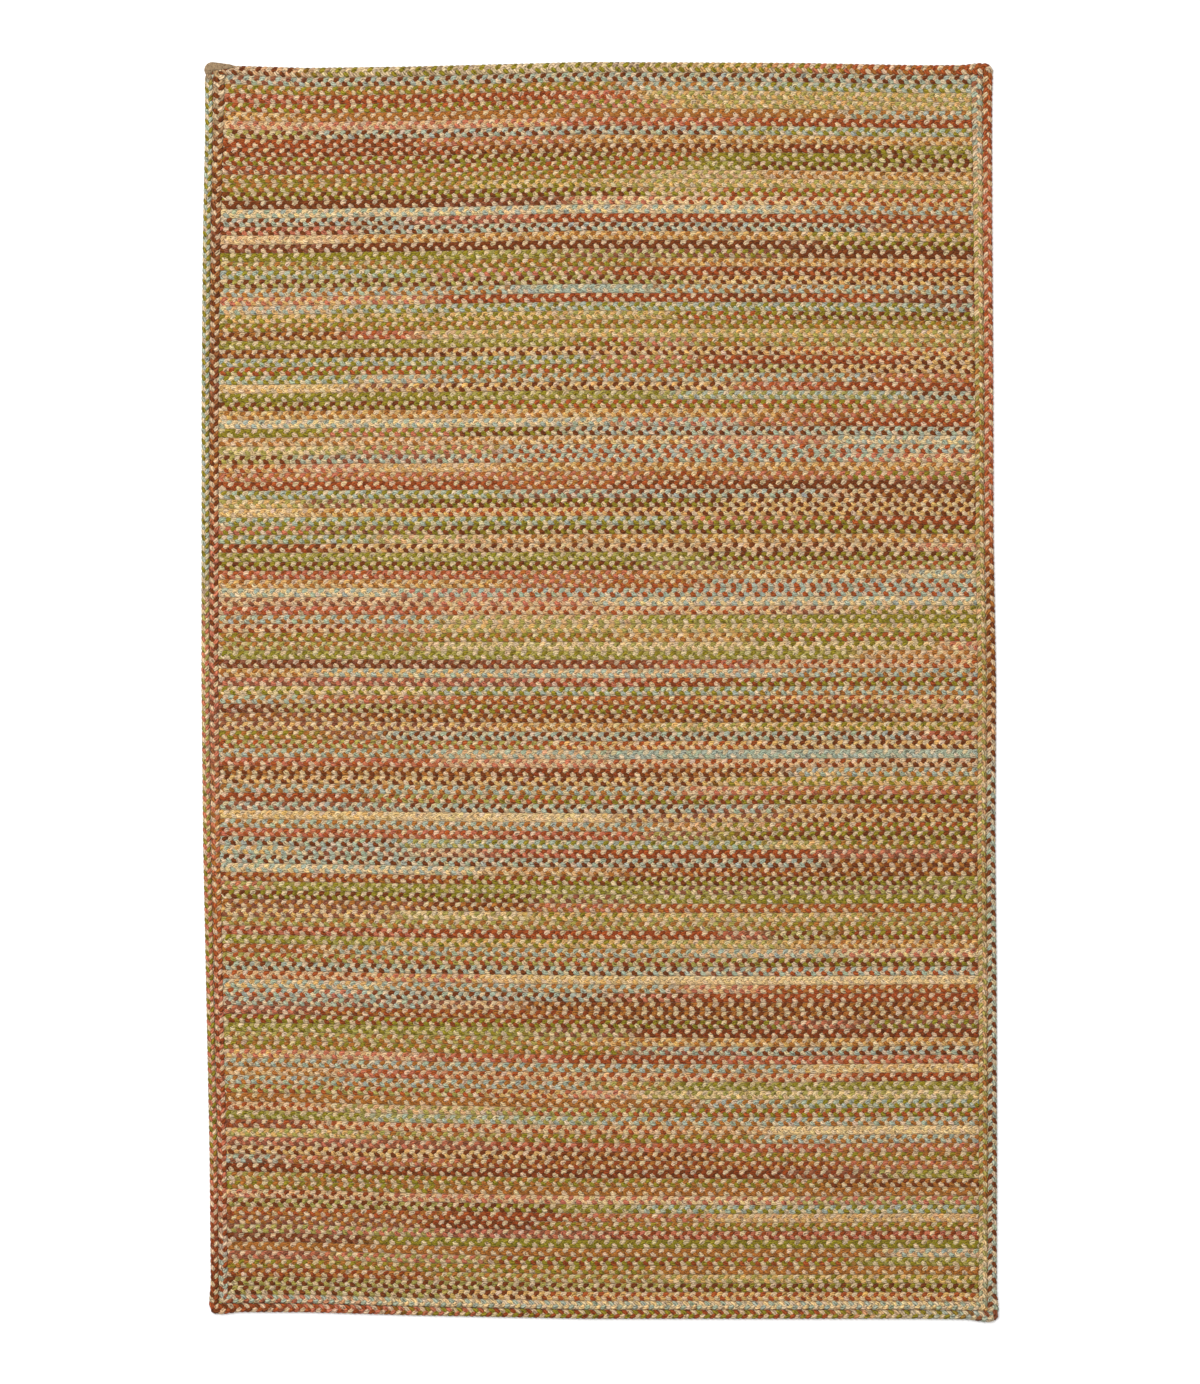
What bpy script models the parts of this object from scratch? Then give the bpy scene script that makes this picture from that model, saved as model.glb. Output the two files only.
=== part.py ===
"""A braided wool-blend rug of about 1.53 by 2.42 m, lying flat with its underside on z = 0.

Cut lengths of flat three-strand braid lie side by side across the rug, sewn edge to edge, and make
the field. One long braid is sewn round them as a spiral. It starts under the head row at the right,
runs down the right side, along the foot and up the left side as the inner round, then along the head,
down, along and up once more as the outer round, to a tapered end over the head-left corner. The
origin is under the middle of the rug, +Y points to the head edge and +X to the right. All sizes are
in metres.
"""

import math

import bmesh
import bpy
from mathutils import Vector

# The rug
WIDTH = 1.531  # mean distance between the two side edges
LENGTH = 2.427  # mean distance from the head edge to the foot edge
THICKNESS = 0.0095  # of a flat braid, at its crown
GAP = 0.0003  # between two pieces that are sewn together

# The lines between the braids, counted from the head edge to the foot edge
HEAD_LINE = 0
FIELD_FIRST = 1
FIELD_LAST = 139
INNER_FOOT = 140
FOOT_LINE = 141

# A braid's cross-section, as points (share of its width, share of the thickness)
VALLEY = 0.66  # the height of the sewn valley between two braids
SHOULDER = 0.93
FIELD_RIB = ((0.0, VALLEY), (0.25, SHOULDER), (0.5, 1.0), (0.75, SHOULDER))
INNER_CROWN = (*FIELD_RIB, (1.0, VALLEY))
OUTER_CROWN = (*FIELD_RIB[:3], (0.75, 0.90), (0.93, 0.70), (1.0, 0.38))
OUTER_UNDERSIDE = 0.88  # the share of an outer braid's width that touches the floor

# How far the head and the foot edge stand out from the mean rectangle, at places across the rug
HEAD_OUT, FOOT_OUT = 1, 2
ACROSS = (
    # x, head, foot
    (-0.770, 0.0046, -0.0116),
    (-0.570, -0.0034, -0.0111),
    (-0.360, -0.0006, -0.0051),
    (-0.030, 0.0081, 0.0014),
    (0.380, 0.0063, 0.0014),
    (0.620, 0.0018, 0.0014),
    (0.770, 0.0026, 0.0034),
)

# How far the side edges stand out, and how wide the inner border braid lies, at places along the rug
LEFT_OUT, RIGHT_OUT, INNER_WIDTH = 1, 2, 3
ALONG = (
    # y, left, right, inner braid
    (-1.215, -0.0115, 0.0035, 0.0185),
    (-0.900, -0.0085, 0.0040, 0.0185),
    (-0.560, -0.0015, 0.0033, 0.0187),
    (-0.300, 0.0040, 0.0010, 0.0187),
    (0.020, 0.0073, 0.0023, 0.0187),
    (0.300, 0.0071, -0.0025, 0.0187),
    (0.600, 0.0070, -0.0031, 0.0190),
    (0.890, 0.0045, -0.0050, 0.0198),
    (1.090, 0.0003, -0.0057, 0.0215),
    (1.215, 0.0005, -0.0050, 0.0255),
)

# How far the sewing has let the braids drift towards the foot
DRIFTED = 1
DRIFT = (
    # line, drift
    (0, 0.0),
    (1, 0.0030),
    (5, 0.0029),
    (18, -0.0012),
    (38, -0.0034),
    (62, -0.0008),
    (74, 0.0003),
    (84, 0.0036),
    (102, 0.0079),
    (110, 0.0068),
    (127, 0.0035),
    (138, 0.0),
    (141, 0.0),
)

# The outer border braid, which swells into a round ear where it turns
OUTER_WIDTH = {-1: 0.0153, 1: 0.0177}  # by the side that it lies on
EARS = {
    # the ear's reach on its first side and on its second
    "head_right": (0.0218, 0.0184),
    "foot_right": (0.0215, 0.0222),
    "foot_left": (0.0215, 0.0187),
    "tail": (0.0163, 0.0160),
}
CORNER_STEPS = 6  # sections in a right angle
FLARE = 0.045  # the length over which it swells
FLARE_PARTS = (0.35, 0.7, 1.0)  # the shares of that length at which it has a section
LEAST_STEP = 0.002  # between two sections

# Its tapered end, which lies over the head-left corner and along the head edge
TAIL_WIDTH = 0.0125  # what it takes from the head row at the corner
TAIL_LENGTH = 0.040
TAIL_TIP = 0.0020
TAIL_STEPS = 3
TAIL_STEP_OFF = 0.004  # the length over which the head row reaches its full width past the tip
NARROW = 0.008  # a braid's end narrower than this lies lower than a whole braid

SHARP_EDGE = math.radians(50)  # steeper edges between faces stay sharp
SAME_POINT = 1e-6  # points closer than this are one
MEETING_ROUNDS = 4  # in which a seam and a line are brought to their common point

# Directions on the floor
LEFT, RIGHT, UP, DOWN = (Vector(way) for way in ((-1, 0), (1, 0), (0, 1), (0, -1)))

# Colours as linear RGB
ROUGHNESS = 0.95
COLOURS = {
    "field_braids": (0.42, 0.24, 0.12),
    "border_inner_right": (0.48, 0.36, 0.20),
    "border_inner_foot": (0.55, 0.40, 0.26),
    "border_inner_left": (0.34, 0.14, 0.08),
    "border_head": (0.50, 0.34, 0.18),
    "border_right": (0.40, 0.15, 0.07),
    "border_foot": (0.42, 0.22, 0.10),
    "border_left": (0.38, 0.34, 0.18),
}


def read(table, at, column):
    """A column of a table at a place between its rows, running straight from one row to the next."""
    for low, high in zip(table, table[1:]):
        if at <= high[0] or high is table[-1]:
            share = (at - low[0]) / (high[0] - low[0])
            return low[column] + (high[column] - low[column]) * share


def line(number, x):
    """y of a line between two braids."""
    head = LENGTH / 2 + read(ACROSS, x, HEAD_OUT)
    foot = -LENGTH / 2 - read(ACROSS, x, FOOT_OUT)
    return head + (foot - head) * number / FOOT_LINE - read(DRIFT, number, DRIFTED)


def seam(side, ring, y):
    """x of a seam along the left (-1) or right (1) side: ring 0 is the rug's edge, 1 lies between the
    two border braids and 2 between the inner one and the field."""
    out = WIDTH / 2 + read(ALONG, y, LEFT_OUT if side < 0 else RIGHT_OUT)
    if ring > 0:
        out -= OUTER_WIDTH[side]
    if ring > 1:
        out -= read(ALONG, y, INNER_WIDTH)
    return side * out


def meeting(side, ring, number):
    """The point where a side's seam meets a line."""
    x = side * WIDTH / 2
    for _ in range(MEETING_ROUNDS):
        y = line(number, x)
        x = seam(side, ring, y)
    return Vector((x, y))


def finished(name, bm):
    """The named object, with its own wool material."""
    bmesh.ops.recalc_face_normals(bm, faces=bm.faces)
    mesh = bpy.data.meshes.new(name)
    bm.to_mesh(mesh)
    bm.free()
    mesh.shade_smooth()
    mesh.set_sharp_from_angle(angle=SHARP_EDGE)
    wool = bpy.data.materials.new(name + "_wool")
    wool.use_nodes = True
    shader = wool.node_tree.nodes["Principled BSDF"]
    shader.inputs["Base Color"].default_value = (*COLOURS[name], 1)
    shader.inputs["Roughness"].default_value = ROUGHNESS
    shader.inputs["Metallic"].default_value = 0
    mesh.materials.append(wool)
    obj = bpy.data.objects.new(name, mesh)
    bpy.context.scene.collection.objects.link(obj)


def field_braids():
    """The cut lengths side by side: a sheet whose every braid is raised as a rib, on a flat underside."""
    stations = [row[0] for row in ACROSS[1:-1]]
    columns = len(stations) + 1
    rows = (FIELD_LAST - FIELD_FIRST) * len(FIELD_RIB)
    room = GAP / 2
    bm = bmesh.new()
    bmesh.ops.create_grid(bm, x_segments=columns, y_segments=rows, size=0.5)
    for vert in bm.verts:
        column = round((vert.co.x + 0.5) * columns)
        row = round((0.5 - vert.co.y) * rows)
        across, up = FIELD_RIB[row % len(FIELD_RIB)]
        number = FIELD_FIRST + row // len(FIELD_RIB) + across
        if 0 < column < columns:
            x = stations[column - 1]
        else:
            side = 1 if column else -1
            x = meeting(side, 2, number).x - side * room
        inset = room * ((row == rows) - (row == 0))
        vert.co = (x, line(number, x) + inset, THICKNESS * up)
    for part in bmesh.ops.extrude_face_region(bm, geom=bm.faces[:])["geom"]:
        if isinstance(part, bmesh.types.BMVert):
            part.co.z = 0
    finished("field_braids", bm)


def run(name, pairs, outside):
    """A straight run of the border braid, extruded through its (inner, outer) pairs of points on the
    floor. An outside run is rounded on its outer side, and an inner one has a valley on both."""
    crown = OUTER_CROWN if outside else INNER_CROWN
    underside = OUTER_UNDERSIDE if outside else 1.0
    sections = []
    for inner, outer in pairs:
        inner, outer = inner.to_3d(), outer.to_3d()
        height = THICKNESS * min(1.0, (outer - inner).length / NARROW)
        top = [inner.lerp(outer, across) + Vector((0, 0, height * up)) for across, up in crown]
        sections.append(top + [inner.lerp(outer, underside), inner])
    bm = bmesh.new()
    face = bm.faces.new([bm.verts.new(point) for point in sections[0]])
    for section in sections[1:]:
        moved = bmesh.ops.extrude_face_region(bm, geom=[face, *face.edges])["geom"]
        face = next(part for part in moved if isinstance(part, bmesh.types.BMFace))
        for vert, point in zip(face.verts, section):
            vert.co = point
    # All sections of a corner share its inner point.
    bmesh.ops.remove_doubles(bm, verts=bm.verts, dist=SAME_POINT)
    finished(name, bm)


def pivots(turn, before, after):
    """Where the inner sides of the two runs at a turn end, half a gap from it and from each other."""
    room = GAP / 2
    back = room * (math.sqrt(2) - 1)
    return turn + before * room - after * back, turn + after * room - before * back


def mitred(turn, corner, before, after):
    """The pairs with which one run ends and the next begins at a turn, where before and after are their
    ways out. They are parted along the straight line from the turn to its outer corner."""
    reach = corner - turn
    across = before * (reach.dot(before) - GAP)
    on = after * (reach.dot(after) - GAP)
    first, second = pivots(turn, before, after)
    ending = [(first, first + across), (first, first + across + on)]
    beginning = [(second, second + across + on), (second, second + on)]
    return ending, beginning


def swung(pivot, reach, before, after, start, end):
    """The pairs of a run whose outer side swings round a pivot, from the start to the end of a right
    angle between two ways out. Its reach goes from the first to the second."""
    steps = round(abs(end - start) * CORNER_STEPS)
    pairs = []
    for step in range(steps + 1):
        share = start + (end - start) * step / steps
        angle = share * math.pi / 2
        out = before * math.cos(angle) + after * math.sin(angle)
        pairs.append((pivot, pivot + out * (reach[0] + (reach[1] - reach[0]) * share - GAP / 2)))
    return pairs


def rounded(turn, reach, before, after):
    """As mitred, with a round outer side."""
    first, second = pivots(turn, before, after)
    return swung(first, reach, before, after, 0, 0.5), swung(second, reach, before, after, 0.5, 1)


def widened(width, at, ears):
    """A run's width, where it widens smoothly into each (place, reach) of its ears."""
    for place, reach in ears:
        share = max(0.0, 1 - abs(at - place) / FLARE)
        width += (reach - width) * share * share * (3 - 2 * share)
    return width


def stations(table, start, end, ears=(), more=()):
    """Where a run has its sections between its ends: at the table's own places, in its flares, and at
    any more that it asks for."""
    places = [row[0] for row in table] + list(more)
    places += [place + way * FLARE * part for place, _ in ears for part in FLARE_PARTS for way in (-1, 1)]
    low, high = sorted((start, end))
    found = sorted(at for at in places if low + LEAST_STEP < at < high - LEAST_STEP)
    return found if start < end else found[::-1]


def side_pairs(side, ring, start, end, ears=()):
    """The pairs of a run along a side, from one y to another, in ring 0 or 1 of the border."""
    pairs = []
    for y in stations(ALONG, start, end, ears):
        inner = seam(side, ring + 1, y)
        width = widened(abs(seam(side, ring, y) - inner), y, ears) - (GAP / 2 if ring else 0)
        pairs.append((Vector((inner + side * GAP / 2, y)), Vector((inner + side * width, y))))
    return pairs


def edge_pairs(inner_line, outer_line, start, end, ears=(), cut=lambda x: 0.0, more=()):
    """The pairs of a run along the head or the foot edge, from one x to another. The cut is what the
    tapered end takes from its width."""
    way = 1 if outer_line < inner_line else -1
    pairs = []
    for x in stations(ACROSS, start, end, ears, more):
        inner = line(inner_line, x)
        width = widened(abs(line(outer_line, x) - inner), x, ears) - cut(x)
        if cut(x) or outer_line == INNER_FOOT:
            width -= GAP / 2
        pairs.append((Vector((x, inner + way * GAP / 2)), Vector((x, inner + way * width))))
    return pairs


def inner_round(head_left_corner):
    """The runs of the inner round, and the pair with which the head run goes on from them."""
    foot_right = mitred(meeting(1, 2, FIELD_LAST), meeting(1, 1, INNER_FOOT), RIGHT, DOWN)
    foot_left = mitred(meeting(-1, 2, FIELD_LAST), meeting(-1, 1, INNER_FOOT), DOWN, LEFT)
    head_left = mitred(meeting(-1, 2, FIELD_FIRST), head_left_corner, LEFT, UP)

    # It starts with a cut end against the head row.
    inner, outer = (meeting(1, ring, FIELD_FIRST) + DOWN * GAP for ring in (2, 1))
    start = [(inner + RIGHT * GAP / 2, outer + LEFT * GAP / 2)]
    down = side_pairs(1, 1, min(inner.y, outer.y), foot_right[0][0][0].y)
    run("border_inner_right", start + down + foot_right[0], outside=False)

    along = edge_pairs(FIELD_LAST, INNER_FOOT, foot_right[1][1][0].x, foot_left[0][0][0].x)
    run("border_inner_foot", foot_right[1] + along + foot_left[0], outside=False)

    up = side_pairs(-1, 1, foot_left[1][1][0].y, head_left[0][0][0].y)
    run("border_inner_left", foot_left[1] + up + head_left[0], outside=False)
    return head_left[1][0]


def outer_round(head_left_corner, head_beginning):
    """The runs of the outer round, the last of them with the tapered end."""
    def cut(x):
        """What the tapered end takes from the head row's width."""
        share = (x - head_left_corner.x) / TAIL_LENGTH
        if share < 1:
            return TAIL_WIDTH + (TAIL_TIP - TAIL_WIDTH) * max(0.0, share)
        return TAIL_TIP * max(0.0, 1 - (share - 1) * TAIL_LENGTH / TAIL_STEP_OFF)

    head_right = meeting(1, 1, FIELD_FIRST)
    foot_right = meeting(1, 1, INNER_FOOT)
    foot_left = meeting(-1, 1, INNER_FOOT)
    at_head_right = rounded(head_right, EARS["head_right"], UP, RIGHT)
    at_foot_right = rounded(foot_right, EARS["foot_right"], RIGHT, DOWN)
    at_foot_left = rounded(foot_left, EARS["foot_left"], DOWN, LEFT)
    tail = [head_left_corner.x + TAIL_LENGTH * step / TAIL_STEPS for step in range(1, TAIL_STEPS + 1)]

    ears = [(head_right.x, EARS["head_right"][0])]
    more = tail + [tail[-1] + TAIL_STEP_OFF]
    along = edge_pairs(FIELD_FIRST, HEAD_LINE, head_left_corner.x, head_right.x, ears, cut, more)
    # The tapered end begins before the turn's pivot, from which the first sections fan out.
    pivot, corner = head_beginning
    along = [(inner if inner.x > pivot.x else pivot, outer) for inner, outer in along]
    run("border_head", [(pivot, corner)] + along + at_head_right[0], outside=True)

    ears = [(head_right.y, EARS["head_right"][1]), (foot_right.y, EARS["foot_right"][0])]
    down = side_pairs(1, 0, head_right.y, foot_right.y, ears)
    run("border_right", at_head_right[1] + down + at_foot_right[0], outside=True)

    ears = [(foot_right.x, EARS["foot_right"][1]), (foot_left.x, EARS["foot_left"][0])]
    along = edge_pairs(INNER_FOOT, FOOT_LINE, foot_right.x, foot_left.x, ears)
    run("border_foot", at_foot_right[1] + along + at_foot_left[0], outside=True)

    ears = [(foot_left.y, EARS["foot_left"][1]), (head_left_corner.y, EARS["tail"][0])]
    up = side_pairs(-1, 0, foot_left.y, head_left_corner.y, ears)
    pivot = head_left_corner + (LEFT + UP) * GAP / 2
    over = swung(pivot, EARS["tail"], LEFT, UP, 0, 1)
    for x in tail:
        inner = line(HEAD_LINE, x) - cut(x) + GAP / 2
        thick = EARS["tail"][1]
        width = thick + (TAIL_TIP - thick) * (x - head_left_corner.x) / TAIL_LENGTH
        over.append((Vector((x, inner)), Vector((x, inner + width))))
    run("border_left", at_foot_left[1] + up + over, outside=True)


def main():
    for obj in list(bpy.data.objects):
        bpy.data.objects.remove(obj)
    field_braids()
    corner = meeting(-1, 1, HEAD_LINE) + DOWN * TAIL_WIDTH
    outer_round(corner, inner_round(corner))


main()
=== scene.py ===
"""The looks of a braided wool rug, lying flat: its interlaced strands, their yarns and the floor.

Every braid is plaited from three soft wool strands. One of them is always undyed wheat, and the other
two are space-dyed, so that their colours change slowly along the braid. The field's braids lie across
the rug, side by side, and one long braid goes round them twice as a spiral. All sizes are in metres,
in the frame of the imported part.
"""

import math

import bmesh
import bpy
import numpy as np
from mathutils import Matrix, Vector


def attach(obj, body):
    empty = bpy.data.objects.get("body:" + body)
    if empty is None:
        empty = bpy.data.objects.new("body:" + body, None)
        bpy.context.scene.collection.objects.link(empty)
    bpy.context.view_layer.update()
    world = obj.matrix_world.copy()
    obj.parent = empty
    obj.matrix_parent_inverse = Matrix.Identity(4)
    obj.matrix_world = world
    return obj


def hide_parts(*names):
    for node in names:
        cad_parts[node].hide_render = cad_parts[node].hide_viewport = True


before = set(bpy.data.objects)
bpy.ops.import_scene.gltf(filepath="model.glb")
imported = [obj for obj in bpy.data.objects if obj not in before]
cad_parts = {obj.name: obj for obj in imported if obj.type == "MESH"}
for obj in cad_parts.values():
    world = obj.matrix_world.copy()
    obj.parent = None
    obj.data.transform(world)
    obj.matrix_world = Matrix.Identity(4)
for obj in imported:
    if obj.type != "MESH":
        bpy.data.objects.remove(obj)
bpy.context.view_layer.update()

# ---- The rug's sizes, as in the part ---------------------------------------------------------------

WIDTH = 1.531  # mean distance between the two side edges
LENGTH = 2.427  # mean distance from the head edge to the foot edge
THICKNESS = 0.0095  # of a flat braid, at its crown

HEAD_LINE, FIELD_FIRST, FIELD_LAST, INNER_FOOT, FOOT_LINE = 0, 1, 139, 140, 141

HEAD_OUT, FOOT_OUT = 1, 2
ACROSS = (
    # x, head, foot
    (-0.770, 0.0046, -0.0116),
    (-0.570, -0.0034, -0.0111),
    (-0.360, -0.0006, -0.0051),
    (-0.030, 0.0081, 0.0014),
    (0.380, 0.0063, 0.0014),
    (0.620, 0.0018, 0.0014),
    (0.770, 0.0026, 0.0034),
)

LEFT_OUT, RIGHT_OUT, INNER_WIDTH = 1, 2, 3
ALONG = (
    # y, left, right, inner braid
    (-1.215, -0.0115, 0.0035, 0.0185),
    (-0.900, -0.0085, 0.0040, 0.0185),
    (-0.560, -0.0015, 0.0033, 0.0187),
    (-0.300, 0.0040, 0.0010, 0.0187),
    (0.020, 0.0073, 0.0023, 0.0187),
    (0.300, 0.0071, -0.0025, 0.0187),
    (0.600, 0.0070, -0.0031, 0.0190),
    (0.890, 0.0045, -0.0050, 0.0198),
    (1.090, 0.0003, -0.0057, 0.0215),
    (1.215, 0.0005, -0.0050, 0.0255),
)

DRIFTED = 1
DRIFT = (
    # line, drift
    (0, 0.0),
    (1, 0.0030),
    (5, 0.0029),
    (18, -0.0012),
    (38, -0.0034),
    (62, -0.0008),
    (74, 0.0003),
    (84, 0.0036),
    (102, 0.0079),
    (110, 0.0068),
    (127, 0.0035),
    (138, 0.0),
    (141, 0.0),
)

SWAY_AT = (-0.70, -0.58, -0.45, 0.02, 0.37, 0.58, 0.70)
SWAY = (
    # line, and by how many millimetres the braids there lie nearer the foot, at each place of SWAY_AT
    (2, 0, 0, 0, 0, 0, 0, 0),
    (12, 6.5, 1.5, 0, 0.5, 0.5, 0, 0),
    (30, 7.0, 1.3, -0.5, 0.6, 0, -2.2, -1.5),
    (50, 5.0, 1.0, -0.5, 1.0, -0.5, -3.4, -3.2),
    (76, 3.8, 1.0, 0, 2.8, 0.3, -2.6, -3.1),
    (87, -1.0, -1.0, -1.2, 2.0, 1.0, -1.0, -2.3),
    (108, -2.5, -2.2, -1.5, 0.6, 2.0, -1.0, -2.2),
    (127, -2.4, -0.8, 0, 0.4, 1.5, 0, -1.3),
    (139, 0, 0, 0, 0, 0, 0, 0),
)

OUTER_WIDTH = {-1: 0.0153, 1: 0.0177}
EARS = {
    # the ear's reach on its first side and on its second
    "head_right": (0.0240, 0.0184),
    "foot_right": (0.0215, 0.0222),
    "foot_left": (0.0215, 0.0187),
    "tail": (0.0163, 0.0160),
}
CORNER_STEPS = 12
CORNER_FILL = 0.26  # how far a turn of the inner round, or of the head row at its start, fills its corner
EAR_FILL, TAIL_FILL = 0.10, 0.03  # the same for the outer round's eared turns and for the bound end's
FLARE = 0.045  # the length in which a run widens into an ear
FLARE_PARTS = (0.2, 0.4, 0.6, 0.8, 1.0)
TAIL_WIDTH = 0.0125  # of the bound end on the head row, where it begins
TAIL_LENGTH = 0.040
TAIL_TIP = 0.0020
TAIL_STEPS = 6
HEAD_YIELD = 0.4  # the share of the bound end's width by which the head row is pressed in under it
NARROW = 0.008  # the width below which a braid is thinner too

LEFT, RIGHT, UP, DOWN = (Vector(way) for way in ((-1, 0), (1, 0), (0, 1), (0, -1)))

# ---- A braid's make --------------------------------------------------------------------------------

PERIOD = 0.0310  # the length in which a strand crosses the braid and comes back
STRANDS = 3
PITCH = PERIOD / STRANDS  # from one strand's lobe to the next one's
BRAID_WIDTH = 0.0172  # of a usual braid, to which its strands' proportions belong
STRAND_WIDTH = 0.0088
STRAND_THICK = 0.0052
SWING = (BRAID_WIDTH - STRAND_WIDTH) / 2  # of a strand's middle, to either side
STEEPNESS = 0.12  # how much more steeply than a plain wave a strand crosses the braid's middle
LIFT = (THICKNESS - STRAND_THICK) / 2  # of a strand's middle, up and down
OWN_WAY = 1.3  # how much longer a strand's own way is than its braid
END_THICK = 0.0043  # of one of the ends that make up a strand
SEED = 24

# ---- Yarns -----------------------------------------------------------------------------------------

YARNS = {
    "W": "#c8b08c",  # undyed wheat
    "G": "#c3995c",  # straw gold
    "P": "#c3996c",  # peach
    "C": "#ae6448",  # coral
    "T": "#9b6129",  # terracotta
    "R": "#984920",  # rust
    "K": "#843c18",  # brick
    "M": "#824c32",  # mauve brown
    "B": "#6c3513",  # dark brown
    "O": "#81731e",  # olive
    "S": "#978a46",  # sage
    "A": "#999f8a",  # pale aqua
    "Y": "#d0b07c",  # straw
    "N": "#947a5c",  # tan, for the bound end
}

# The two dyed yarns of each field braid, from its left end to its right one, with the places between
# them where they change. The braids go from the head edge to the foot edge. A place is a number of
# steps, and CHART_MIDDLE is the rug's middle.
CHART_STEP = 0.01938
CHART_MIDDLE = 60
FIELD_YARNS = """
MA30BA OT61TA74OA KC33KR56CR64GS OR56OC67GS TG30TT85TA CP50CG56CR76KR SB32BA74OA KR33RB42CT57GT
BR48BT77BK86BO92OS KO43BO62RO71OO88OB MR41RO68OS75BO86BS OT64SP76PT84GT OT47OG60GS BO64PO72RO
BB44BM57CY66RY84RG AY79AT BA42MC53KR BC36BA87MT PY34GT80GO BM33BB79BM83BO OO43OS56MS66MO78BB
TS40OT66GT AO42OC60KR72BR BS70BG TA52AA65TA CG43KR72KB79KR88MB AP33AO94AM OG56GS67RO78BO OT
BT34RC42PS48SG OS57OR64SC70OT76ST BT43BG79RG OA60SC70RK91GB RO70BS82BG AO35AP43AT88CT
GY34MG42BG74RC84KR OO44OS67AS90AB BO46RO87CS GT78TC88TR AY61CA74CT83RK OO33OC45OB56BA
TP50TY70CP80CR83AY SY35SC50RA BS30MA46RA83CA90CY RG29CP37PG49TG CT64KT71CT84CO90OC
KR52RT62BR74BB90BM AO50MA64BA83BP88TB GS30MS40BO72BG GY30TG40RG62BG AO68OC80RO86RK CO31MO42BO
AO38SP48TP60TG RB33BG45BP91CP SO69OB BO64MS74RS RC52CT65GT74YT91AY GT51CT61RT71RA YA39CA50RA
MP43CP60AY CR44RP76MP85OP AT45PS63OS80OO KP36CP44GS OT62TG75OR ST42SY75OY93CP OS86PT BM48KM66RC76RP
TG32GA50PA78AT MC52KC64KR74OK OY43AO76AT AT32CT45TR70RG BM27SB45OK83OM90SP TM36TB MG50TG64SG75OG
OT32MT38AB92CK RS56RG76BG AT43AP60AA CR45CP60RP78KP88BP BT50BK66BT79GA84TA BG73OG TA68CP76CT
RK37RS50OR62OK78OB AM40AB70AM78PT85RT YG40YY61MG80BG AT66PT70OP78OR CR50KC65MS72OB
AB40AS47OA76SG82OT GA29MA42PM49KC58KR82CM AB83BT YA48PT62KT80BT KT45OK60OB92OS CS27OS66SM
BO53MS64OS75OO TM42BT53CT62RT MG39YS52OG64GS86TS ST75OT88ST KC42KR72CM77BS84OK OS38OG65SG80TG
TR30TG34AT70AP84CY RS60KS75BO BA68MA76RA RP38CG48YG65YY GA38TA60AT68PC76RT RA32CA36BA60BC70KR
AM42MP52BT CM31KT60TB91TC KO45OK60OB78CM87OM OS52MS64BK ST58GT OT63AM74AB CG29CP42CR56KR72RC AT80YG
TP34CR44RP85KR AT58ST68OS RS48RG57CP64SY TT69TA79OA RP34SP51RS66RO OS38SA60AT RM32RP68TP77YY
GS38ST50OT76TA CM48KC58RC84CT BG55BT73OT AM28CT47KT84CT BK79MK86SM91OS ST32OT82BT OT44TT
CP26KP40CP54CY79SC BS44BO55OS63OA RT45KR58CT71PG TM42BK55OT SM31SC44CM60KC BM38OO TT88PA
CM34CS48OK70OR86OS OT66TT KT43ST66GS80OG BS66BO BS46BG54RG
"""

# The two dyed yarns of the border braid, at places on its way along each side: y on the right and
# left sides, x on the foot and the head
BORDER_YARNS = {
    "inner_right": (
        (1.18, "AM"), (1.08, "AP"), (0.95, "SP"), (0.80, "SP"), (0.66, "ST"),
        (0.36, "ST"), (0.20, "SP"), (0.02, "ST"), (-0.16, "SP"), (-0.36, "ST"),
        (-0.60, "SP"), (-0.76, "ST"), (-0.98, "ST"), (-1.07, "SY"),
    ),
    "inner_foot": (
        (0.70, "AY"), (-0.38, "AY"), (-0.58, "AC"),
    ),
    "inner_left": (
        (-1.12, "AK"), (-0.98, "CK"), (-0.56, "CK"), (-0.42, "TR"), (-0.26, "TC"),
        (-0.08, "MC"), (0.10, "BC"), (0.30, "BC"), (0.44, "BT"), (0.60, "BM"),
        (0.74, "BT"), (0.90, "BM"), (1.02, "BT"), (1.12, "BN"),
    ),
    "head": (
        (-0.60, "BP"), (-0.53, "ON"), (-0.44, "OW"), (-0.34, "ON"), (-0.12, "OW"),
        (0.06, "ON"), (0.24, "OG"), (0.42, "OC"), (0.51, "TR"),
    ),
    "right": (
        (1.10, "KR"), (0.98, "CR"), (0.38, "CR"), (0.20, "TB"), (0.02, "TB"),
        (-0.08, "PB"), (-0.16, "AB"), (-1.16, "AB"),
    ),
    "foot": (
        (0.74, "AM"), (0.67, "AO"), (0.54, "PO"), (0.44, "RO"), (0.12, "KO"),
        (-0.20, "KO"), (-0.32, "CO"), (-0.44, "CK"), (-0.54, "CR"), (-0.66, "BR"),
    ),
    "left": (
        (-1.12, "BK"), (-0.98, "CK"), (-0.86, "CO"), (-0.36, "CO"), (-0.10, "CS"),
        (0.14, "CS"), (0.24, "AO"), (1.18, "AO"),
    ),
}


# ---- The rug's lines and seams, as in the part -----------------------------------------------------

def column(table, at, index):
    """A column of a table at one place or many, running straight from one row to the next."""
    return np.interp(at, [row[0] for row in table], [row[index] for row in table])


def sway(number, x):
    """How much nearer the foot a hand-sewn braid lies at a place than an evenly laid one would."""
    total = 0.0
    for index, place in enumerate(SWAY_AT, start=1):
        near = np.interp(x, SWAY_AT, [float(other == place) for other in SWAY_AT])
        total = total + near * column(SWAY, number, index) / 1000
    return total


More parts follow.
